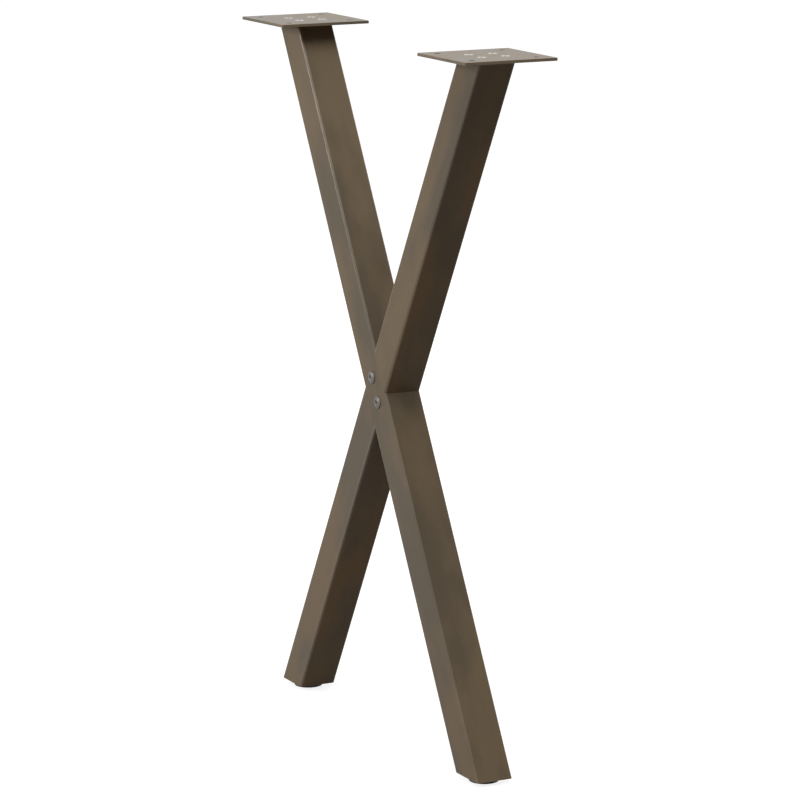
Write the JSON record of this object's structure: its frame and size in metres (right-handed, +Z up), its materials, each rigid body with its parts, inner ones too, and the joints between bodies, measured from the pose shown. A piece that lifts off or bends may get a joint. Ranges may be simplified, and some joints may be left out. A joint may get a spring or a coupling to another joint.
{
  "type": "x shaped table leg",
  "caption": "X-shaped metal table leg of crossed square tubes, halved and bolted at the middle, with a screwed-on square plate at each top and a levelling foot at each bottom.",
  "frame": {"origin": "on the floor midway between the two feet, with the feet screwed right in", "axes": "+Z up along the table's height, +X along the leg's width, +Y towards the back, away from the bolt heads"},
  "size_m": [0.5, 0.1, 0.72],
  "materials": {
    "bronze_steel": "bronze-brown satin lacquer over steel",
    "zinc_steel": "bright zinc plate",
    "mill_steel": "bare mill steel",
    "pad_plastic": "moulded black"
  },
  "bodies": {
    "leg_frame": {"front_lap_tube": "bronze_steel", "rear_lap_tube": "bronze_steel", "left_top_plate": "bronze_steel", "right_top_plate": "bronze_steel", "left_plate_screws": "zinc_steel", "right_plate_screws": "zinc_steel", "cross_bolts": "zinc_steel", "cross_nut_plate": "mill_steel", "left_top_insert": "mill_steel", "right_top_insert": "mill_steel", "left_foot_insert": "bronze_steel", "right_foot_insert": "bronze_steel", "left_foot_nut": "mill_steel", "right_foot_nut": "mill_steel"},
    "left_foot": {"left_foot_stud": "zinc_steel", "left_foot_pad": "pad_plastic"},
    "right_foot": {"right_foot_stud": "zinc_steel", "right_foot_pad": "pad_plastic"}
  },
  "joints": [
    {"name": "left_foot_level", "type": "slide", "parent": "leg_frame", "child": "left_foot", "axis": [0, 0, -1], "range_m": [0, 0.01]},
    {"name": "right_foot_level", "type": "slide", "parent": "leg_frame", "child": "right_foot", "axis": [0, 0, -1], "range_m": [0, 0.01]}
  ]
}
